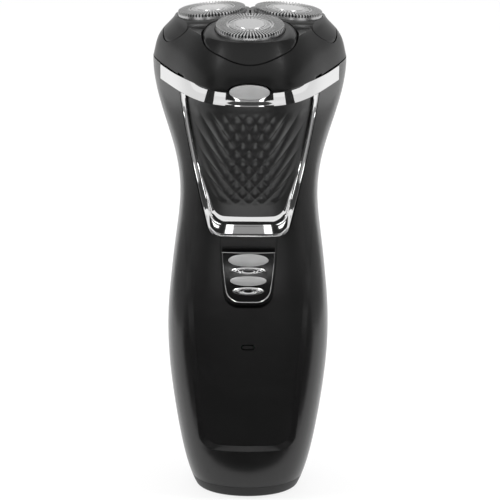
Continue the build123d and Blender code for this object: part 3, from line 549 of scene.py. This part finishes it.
def collar_band():
    """Chrome band that leans in upwards and makes room for the release button."""
    low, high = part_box("collar_trim")
    button_low, button_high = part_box("release_button")
    half_width = button_high.x + BUTTON_ROOM
    half_height = (button_high.z - button_low.z) / 2 + BUTTON_ROOM
    middle = (button_low.z + button_high.z) / 2
    surface = surface_of("collar_trim")
    tree = BVHTree.FromBMesh(surface)
    surface.free()

    def reach_at(azimuth, z):
        """Distance of the band's outside from the handle's axis, or None past its ends."""
        outwards = Vector((sin(azimuth), -cos(azimuth), 0))
        hit = tree.ray_cast(outwards + Vector((0, 0, z)), -outwards)[0]
        return hit.xy.length if hit and hit.xy.dot(outwards.xy) > 0 else None

    end = BAND_START
    while all(reach_at(end + BAND_STEP, z) for z in (low.z + EDGE_MARGIN, high.z - EDGE_MARGIN)):
        end += BAND_STEP

    def place(along, up):
        azimuth = end * (2 * along - 1)
        reach = reach_at(azimuth, low.z + EDGE_MARGIN)
        x = reach * sin(azimuth)
        top = high.z
        if abs(x) < half_width:
            top = min(top, middle - half_height * (1 - (x / half_width) ** 2) ** 0.5)
        z = low.z + (top - low.z) * up
        reach = reach_at(azimuth, min(max(z, low.z + EDGE_MARGIN), top - EDGE_MARGIN)) or reach
        lean = BAND_LEAN * (1 - ramp(abs(azimuth), *BAND_FADE))
        reach -= lean * (z - low.z) / (high.z - low.z)
        return Vector((reach * sin(azimuth), -reach * cos(azimuth), z))

    def inwards(point):
        return Vector((-point.x, -point.y, 0)).normalized() * BAND_BACK

    bm = skirted(sheet(*BAND_GRID, place), inwards)
    piece("collar_band", bm, "chrome_trim", "handle", "collar_trim")


# Slider grips in millimetres: height above the slider's lower end, half width and half height. Then how far
# they rise, the rings' thickness, and where the slider's front is measured, from its lower and upper end
LENS_GRIPS = [(13.9, 6.3, 2.1), (7.2, 5.7, 1.7)]
RING_GRIPS = [(10.5, 5.6, 1.3), (3.9, 5.0, 1.4)]
GRIP_RISE = 0.7 * mm
RING_TUBE = 0.36
RING_RISE = 1.8 * mm
SLIDER_PROBES = (1.5 * mm, 0.3 * mm)


def grip_places(grips, rise):
    """Matrices that put unit shapes on the slider's front as grips."""
    low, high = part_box("switch_slider")
    depth = rays_on("switch_slider", "slider_grips")
    foot, head = depth(0, low.z + SLIDER_PROBES[0]), depth(0, high.z - SLIDER_PROBES[1])
    for level, half_width, half_height in grips:
        size = Matrix.Diagonal((half_width * mm, rise, half_height * mm, 1))
        y = foot + (head - foot) * level * mm / (high.z - low.z)
        yield Matrix.Translation((0, y, low.z + level * mm)) @ size


def lens_grips():
    """Satin silver lenses on the slider."""
    bm = bmesh.new()
    for place in grip_places(LENS_GRIPS, GRIP_RISE):
        bmesh.ops.create_uvsphere(bm, u_segments=48, v_segments=24, radius=1, matrix=place)
    shade(bm)
    piece("lens_grips", bm, "silver_paint", "switch", "slider_grips")


def ring_grips():
    """Bright oval rings between the lenses."""
    bm = bmesh.new()
    for place in grip_places(RING_GRIPS, RING_RISE):
        ring = bmesh.ops.create_circle(bm, segments=20, radius=RING_TUBE)["verts"]
        bmesh.ops.translate(bm, verts=ring, vec=(1 - RING_TUBE, 0, 0))
        rim = list({edge for vertex in ring for edge in vertex.link_edges})
        spun = {"cent": (0, 0, 0), "axis": (0, 1, 0), "angle": 2 * pi, "steps": 64, "use_merge": True}
        bmesh.ops.spin(bm, geom=ring + rim, **spun)
        fresh = [vertex for vertex in bm.verts if not vertex.tag]
        bmesh.ops.transform(bm, verts=fresh, matrix=place)
        for vertex in fresh:
            vertex.tag = True
    bmesh.ops.remove_doubles(bm, verts=bm.verts, dist=WELD)
    bmesh.ops.recalc_face_normals(bm, faces=bm.faces)
    shade(bm)
    piece("ring_grips", bm, "chrome_trim", "switch")


# Bright edge of the slider: the slider's half widths at top, middle and foot, its corner, the edge's section
SLIDER_HALVES = (8.3 * mm, 7.75 * mm, 6.4 * mm)
SLIDER_CORNER = 4.4 * mm
RIM_WIDTH = 0.38 * mm
RIM_RISE = 0.25 * mm
RIM_SAMPLE = 0.4 * mm
RIM_ROWS = 8


def slider_rim():
    """Thin bright edge round the front of the slider: a U and the bar across its top."""
    low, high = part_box("switch_slider")
    middle = (low.z + high.z) / 2
    depth = rays_on("switch_slider")

    def bend(inset):
        halves = [half - inset for half in SLIDER_HALVES]
        return Bend(high.z, middle, low.z + inset, halves, SLIDER_CORNER)

    outer, inner, sample = bend(0), bend(RIM_WIDTH), bend(RIM_SAMPLE)

    def front(x, z):
        half = sample.half(max(z, sample.bottom))
        return depth(min(max(x, -half), half), min(max(z, sample.bottom), high.z - RIM_SAMPLE))

    def along_sides(along, across):
        x, z = between(inner, outer, along, across)
        return Vector((x, front(x, z) - RIM_RISE * sin(pi * across), z))

    def along_top(along, across):
        x, z = outer.half(high.z) * (2 * along - 1), high.z - RIM_WIDTH * across
        return Vector((x, front(x, z) - RIM_RISE * sin(pi * across), z))

    for name, columns, place in (("slider_rim", 120, along_sides), ("slider_edge", 40, along_top)):
        bm = skirted(sheet(columns, RIM_ROWS, place), backwards(RIM_RISE))
        piece(name, bm, "chrome_trim", "switch")


# Indicator window: how much narrower and lower than its hole it is made, so that a dark line surrounds it
WINDOW_SHARES = (0.86, 1, 0.64)


def indicator_window():
    """Smoky window of the lamp in the handle."""
    bm = surface_of("light_pipe")
    low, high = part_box("light_pipe")
    centre = Matrix.Translation(-(low + high) / 2)
    bmesh.ops.scale(bm, vec=WINDOW_SHARES, space=centre, verts=bm.verts)
    shade(bm)
    piece("indicator_window", bm, "window_smoke", "handle", "light_pipe")


# Release button: sizes of its dome and of the rest of it as shares of the solid's, the dome's rise and edge
DOME_SHARES = (0.95, 1, 0.89)
CORE_SHARES = (0.9, 1, 0.8)
DOME_RISE = 0.45 * mm
DOME_EDGE = 0.9 * mm
DOME_GRID = (64, 12)


def domed_button():
    """Oval button with a gently domed front and a dark gap round it."""
    low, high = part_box("release_button")
    centre = (low + high) / 2
    half = Matrix.Diagonal(DOME_SHARES) @ (high - low) / 2

    def place(turn, out):
        angle = 2 * pi * turn
        spot = Vector((half.x * cos(angle), 0, half.z * sin(angle))) * out
        return Vector((centre.x, low.y + DOME_RISE * out**2, centre.z)) + spot

    bm = sheet(*DOME_GRID, place)
    bmesh.ops.remove_doubles(bm, verts=bm.verts, dist=WELD)
    piece("button_dome", skirted(bm, backwards(DOME_EDGE)), "silver_paint", "release")
    bm = surface_of("release_button")
    bmesh.ops.scale(bm, vec=CORE_SHARES, space=Matrix.Translation(-centre), verts=bm.verts)
    for vertex in bm.verts:
        vertex.co.y = max(vertex.co.y, low.y + DOME_EDGE)
    shade(bm)
    piece("button_core", bm, "silver_paint", "release", "release_button")


def head_frame_of(number):
    """Turns and moves a shape that stands upright at the origin onto a head's axis."""
    spin = joints[f"cutter_spin_{number}"]
    axis = Vector(spin["axis"]).normalized()
    tangent = Vector((0, 0, 1)).cross(axis).normalized()
    turn = Matrix((tangent, axis.cross(tangent), axis)).transposed().to_4x4()
    return Matrix.Translation(Vector(spin["pos_m"])) @ turn


def spun_size(node, place):
    """Largest radius, lowest and highest level of a round node about its head's axis."""
    points = [place.inverted() @ vertex.co for vertex in nodes[node].data.vertices]
    levels = [point.z for point in points]
    return max(point.xy.length for point in points), min(levels), max(levels)


# Slotted cap: number of slots, and a wedge of two steps with the tracks that are open in each share of it
CAP_SLOTS = 64
SLOT_SHARE = 0.56
CLOSED, OUTER_TRACK, INNER_TRACK = range(3)
WEDGE = [
    (1 - SLOT_SHARE, ()),
    (SLOT_SHARE, (OUTER_TRACK,)),
    (1 - SLOT_SHARE, ()),
    (SLOT_SHARE, (OUTER_TRACK, INNER_TRACK)),
]
# Its section: flange, wall, the disc's room and seat, radii of the inner track, the groove and the outer
# track, and the rounding, slotted wall and flare of the rim
CAP_FLANGE = 0.8 * mm
CAP_FLANGE_HEIGHT = 0.8 * mm
CAP_WALL = 0.6 * mm
CAP_SINK = 0.02 * mm
DISC_ROOM = 4.65 * mm
DISC_SEAT = 0.5 * mm
INNER_START, INNER_END = 5.05 * mm, 6.2 * mm
GROOVE_START, GROOVE_END = 6.45 * mm, 7.0 * mm
GROOVE_FLANK = 0.05 * mm
GROOVE_DEPTH = 0.4 * mm
OUTER_START = 7.25 * mm
RIM_ROUND = 0.4 * mm
RIM_CUT = 0.12 * mm
RIM_WALL = 0.9 * mm
RIM_FLARE = 0.35 * mm


def slotted_cap(number):
    """Steel cap with two rings of fine slots, the outer ones running over the rim."""
    node = f"shaving_cap_{number}"
    place = head_frame_of(number)
    flange, bottom, top = spun_size(node, place)
    top -= CAP_SINK
    rim = flange - CAP_FLANGE
    section = [
        (DISC_ROOM, top - DISC_SEAT, CLOSED),
        (DISC_ROOM, top, CLOSED),
        (INNER_START, top, CLOSED),
        (INNER_END, top, INNER_TRACK),
        (GROOVE_START, top, CLOSED),
        (GROOVE_START + GROOVE_FLANK, top - GROOVE_DEPTH, CLOSED),
        (GROOVE_END - GROOVE_FLANK, top - GROOVE_DEPTH, CLOSED),
        (GROOVE_END, top, CLOSED),
        (OUTER_START, top, CLOSED),
        (rim - RIM_ROUND, top, OUTER_TRACK),
        (rim - RIM_CUT, top - RIM_CUT, OUTER_TRACK),
        (rim, top - RIM_ROUND, OUTER_TRACK),
        (rim, top - RIM_WALL, OUTER_TRACK),
        (rim + RIM_FLARE, bottom + CAP_FLANGE_HEIGHT, CLOSED),
        (flange, bottom + CAP_FLANGE_HEIGHT, CLOSED),
        (flange, bottom, CLOSED),
    ]
    strips = [
        (Vector(((first + second) / 2, (low + high) / 2)), track)
        for (first, low, _), (second, high, track) in zip(section, section[1:])
    ]

    def track_of(face):
        radius = sum(vertex.co.xy.length for vertex in face.verts) / len(face.verts)
        middle = Vector((radius, face.calc_center_median().z))
        return min(strips, key=lambda strip: (strip[0] - middle).length)[1]

    bm = bmesh.new()
    chain = [bm.verts.new((radius, 0, level)) for radius, level, _ in section]
    last = chain + [bm.edges.new(pair) for pair in zip(chain, chain[1:])]
    step = 2 * pi / CAP_SLOTS
    spin = {"cent": (0, 0, 0), "axis": (0, 0, 1)}
    gaps = []
    for share, tracks in WEDGE:
        before = set(bm.faces)
        last = bmesh.ops.spin(bm, geom=last, angle=step * share, steps=1, **spin)["geom_last"]
        gaps += [face for face in set(bm.faces) - before if track_of(face) in tracks]
    bmesh.ops.delete(bm, geom=gaps, context="FACES")
    wedge = bm.verts[:] + bm.edges[:] + bm.faces[:]
    copies = CAP_SLOTS // 2 - 1
    bmesh.ops.spin(bm, geom=wedge, angle=2 * step * copies, steps=copies, use_duplicate=True, **spin)
    bmesh.ops.remove_doubles(bm, verts=bm.verts, dist=WELD)
    bmesh.ops.recalc_face_normals(bm, faces=bm.faces)
    bmesh.ops.solidify(bm, geom=bm.faces[:], thickness=CAP_WALL)
    shade(bm)
    bm.transform(place)
    piece(f"slotted_cap_{number}", bm, "cap_steel", f"pod_{number}", node)


# Wire springs that stand where the plain sleeves are
WIRE = 0.28 * mm
WIRE_SIDES = 10
TURNS = 4
TURN_STEPS = 36


def coil(radius, low, high):
    """Helix of round wire about the Z axis, with closed ends."""
    bm = bmesh.new()
    ring = bmesh.ops.create_circle(bm, cap_ends=True, segments=WIRE_SIDES, radius=WIRE)["verts"]
    bmesh.ops.rotate(bm, verts=ring, cent=(0, 0, 0), matrix=Matrix.Rotation(pi / 2, 3, "X"))
    bmesh.ops.translate(bm, verts=ring, vec=(radius - WIRE, 0, low + WIRE))
    steps = TURN_STEPS * TURNS
    rise = (high - low - 2 * WIRE) / steps
    bmesh.ops.spin(
        bm, geom=bm.verts[:] + bm.edges[:] + bm.faces[:], cent=(0, 0, 0), axis=(0, 0, 1),
        dvec=(0, 0, rise), angle=2 * pi * TURNS, steps=steps,
    )
    bmesh.ops.recalc_face_normals(bm, faces=bm.faces)
    shade(bm)
    return bm


def pod_coil(number):
    """Wire spring in place of a pod's plain sleeve."""
    node, joint = f"pod_spring_{number}", f"pod_float_{number}"
    place = head_frame_of(number)
    radius, low, high = spun_size(node, place)
    bm = coil(radius, low, high)
    bm.transform(place)
    made = piece(f"pod_coil_{number}", bm, "spring_steel", "head", node)
    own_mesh(made)


def release_coil():
    """Wire spring in place of the release button's plain sleeve."""
    low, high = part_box("release_spring")
    radius = (high.x - low.x) / 2
    bm = coil(radius, 0, high.y - low.y)
    place = Matrix.Translation(((low.x + high.x) / 2, high.y, (low.z + high.z) / 2))
    bm.transform(place @ Matrix.Rotation(pi / 2, 4, "X"))
    made = piece("release_coil", bm, "spring_steel", "handle", "release_spring")
    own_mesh(made)


bevelled_trim()
diamond_relief()
field_ledge()
collar_band()
lens_grips()
ring_grips()
slider_rim()
indicator_window()
domed_button()
release_coil()
for number in HEADS:
    slotted_cap(number)
    pod_coil(number)
for node in sorted(set(nodes) - remade):
    dress(node)


def camera():
    """The photograph's point of view."""
    lens = bpy.data.cameras.new("camera")
    lens.sensor_width = SENSOR
    lens.lens = SENSOR * FOCAL_PIXELS / IMAGE_SIDE
    lens.shift_x = (IMAGE_SIDE / 2 - AXIS_PIXEL) / IMAGE_SIDE
    stand = bpy.data.objects.new("camera", lens)
    bpy.context.scene.collection.objects.link(stand)
    stand.location = (0, -CAMERA_BACK, CAMERA_HEIGHT)
    look = Vector((0, 0, AIM_HEIGHT)) - stand.location
    turn = look.to_track_quat("-Z", "Y").to_matrix() @ Matrix.Rotation(ROLL, 3, "Z")
    stand.rotation_euler = turn.to_euler()
    bpy.context.scene.camera = stand


# Stage: what lamps point at, levels of the surroundings as light and as seen, and the floor
MIDDLE = (0, 0, 0.08)
SKY_LIGHT = 0.35
SKY_SEEN = 1.0
FLOOR_HALF = 6
FLOOR_GREY = 0.85
FLOOR_ROUGHNESS = 0.9
FLOOR_GLOW = 0.8
CARD_GREY = 0.01


def softbox(name, place, size, power, aim=MIDDLE, mirrored=True):
    """Soft lamp out of the camera's sight, which may show in reflections."""
    lamp = bpy.data.lights.new(name, "AREA")
    lamp.shape = "RECTANGLE"
    lamp.size, lamp.size_y = size
    lamp.energy = power
    stand = bpy.data.objects.new(name, lamp)
    bpy.context.scene.collection.objects.link(stand)
    stand.location = place
    stand.visible_camera = False
    stand.visible_glossy = mirrored
    stand.rotation_euler = (Vector(aim) - stand.location).to_track_quat("-Z", "Y").to_euler()


def flag(name, place, size, turn, glow=0.0):
    """Card that only shows in reflections, black or as grey as its glow."""
    bm = bmesh.new()
    bmesh.ops.create_grid(bm, x_segments=1, y_segments=1, size=0.5)
    mesh = bpy.data.meshes.new(name)
    bm.to_mesh(mesh)
    bm.free()
    card = bpy.data.objects.new(name, mesh)
    bpy.context.scene.collection.objects.link(card)
    card.location, card.scale, card.rotation_euler = place, (*size, 1), turn
    card.visible_camera = card.visible_diffuse = card.visible_transmission = card.visible_shadow = False
    paint = bpy.data.materials.new(name)
    paint.use_nodes = True
    shader = paint.node_tree.nodes["Principled BSDF"]
    shader.inputs["Base Color"].default_value = grey(CARD_GREY)
    shader.inputs["Roughness"].default_value = 1.0
    shader.inputs["Emission Color"].default_value = grey(glow)
    shader.inputs["Emission Strength"].default_value = 1.0
    mesh.materials.append(paint)


def seen_directly(tree):
    """1 for rays from the camera, a mirror or a clear piece, 0 for the light that falls on surfaces."""
    path = tree.nodes.new("ShaderNodeLightPath")
    total = path.outputs["Is Camera Ray"]
    for name in ("Is Glossy Ray", "Is Transmission Ray"):
        larger = tree.nodes.new("ShaderNodeMath")
        larger.operation = "MAXIMUM"
        tree.links.new(total, larger.inputs[0])
        tree.links.new(path.outputs[name], larger.inputs[1])
        total = larger.outputs[0]
    return total


def surroundings():
    """White all round, at a lower level as light."""
    scene = bpy.context.scene
    scene.view_settings.view_transform = "Standard"
    world = bpy.data.worlds.new("studio")
    scene.world = world
    world.use_nodes = True
    tree = world.node_tree
    background = tree.nodes["Background"]
    blend = tree.nodes.new("ShaderNodeMix")
    blend.data_type = "RGBA"
    blend.inputs[6].default_value = grey(SKY_LIGHT)
    blend.inputs[7].default_value = grey(SKY_SEEN)
    tree.links.new(seen_directly(tree), blend.inputs["Factor"])
    tree.links.new(blend.outputs[2], background.inputs["Color"])


def ground():
    """Pale floor that keeps the shadow and fades into the white."""
    bm = bmesh.new()
    bmesh.ops.create_grid(bm, x_segments=1, y_segments=1, size=FLOOR_HALF)
    mesh = bpy.data.meshes.new("floor")
    bm.to_mesh(mesh)
    bm.free()
    floor = bpy.data.objects.new("floor", mesh)
    bpy.context.scene.collection.objects.link(floor)
    paint = bpy.data.materials.new("floor")
    paint.use_nodes = True
    tree = paint.node_tree
    shader = tree.nodes["Principled BSDF"]
    shader.inputs["Base Color"].default_value = grey(FLOOR_GREY)
    shader.inputs["Roughness"].default_value = FLOOR_ROUGHNESS
    glow = tree.nodes.new("ShaderNodeEmission")
    glow.inputs["Color"].default_value = grey(SKY_SEEN)
    share = tree.nodes.new("ShaderNodeMath")
    share.operation = "MULTIPLY"
    share.inputs[1].default_value = FLOOR_GLOW
    tree.links.new(seen_directly(tree), share.inputs[0])
    both = tree.nodes.new("ShaderNodeMixShader")
    tree.links.new(share.outputs[0], both.inputs["Fac"])
    tree.links.new(shader.outputs[0], both.inputs[1])
    tree.links.new(glow.outputs[0], both.inputs[2])
    tree.links.new(both.outputs[0], tree.nodes["Material Output"].inputs["Surface"])
    mesh.materials.append(paint)


def studio():
    """Lamps and cards round the shaver: place, size and power in metres and watts."""
    softbox("top", (0, 0.1, 1.1), (0.7, 0.7), 8, mirrored=False)
    softbox("front", (0, -1.15, 0.2), (0.36, 0.36), 0.13)
    softbox("near panel", (0, -0.17, 0.004), (0.16, 0.05), 0.05, (0, -0.17, 1))
    softbox("far panel", (0, -0.46, 0.004), (0.4, 0.1), 0.5, (0, -0.46, 1))
    flag("front flag", (0, -0.655, 0.002), (0.8, 1.26), (0, 0, 0))
    flag("low flag", (0, -0.09, 0.022), (0.24, 0.044), (pi / 2, 0, 0))
    flag("upper flag", (0, -1.35, 0.5), (1.7, 1.0), (pi / 2, 0, 0))
    for side in (-1, 1):
        softbox("side strip", (side * 0.6, -0.1, 0.95), (0.3, 0.5), 7)
        softbox("front panel", (side * 0.25, -1.15, 0.2), (0.13, 0.36), 0.3)
        flag("side flag", (side * 0.6, -0.19, 0.2), (0.4, 0.28), (0, pi / 2, 0))
        flag("head flag", (side * 0.5, 0.2, 0.5), (0.6, 0.7), (0, pi / 2, 0), 0.25)
        flag("neck flag", (side * 0.11, 0.045, 0.06), (0.06, 0.15), (0, pi / 2, 0), 0.33)


camera()
surroundings()
ground()
studio()
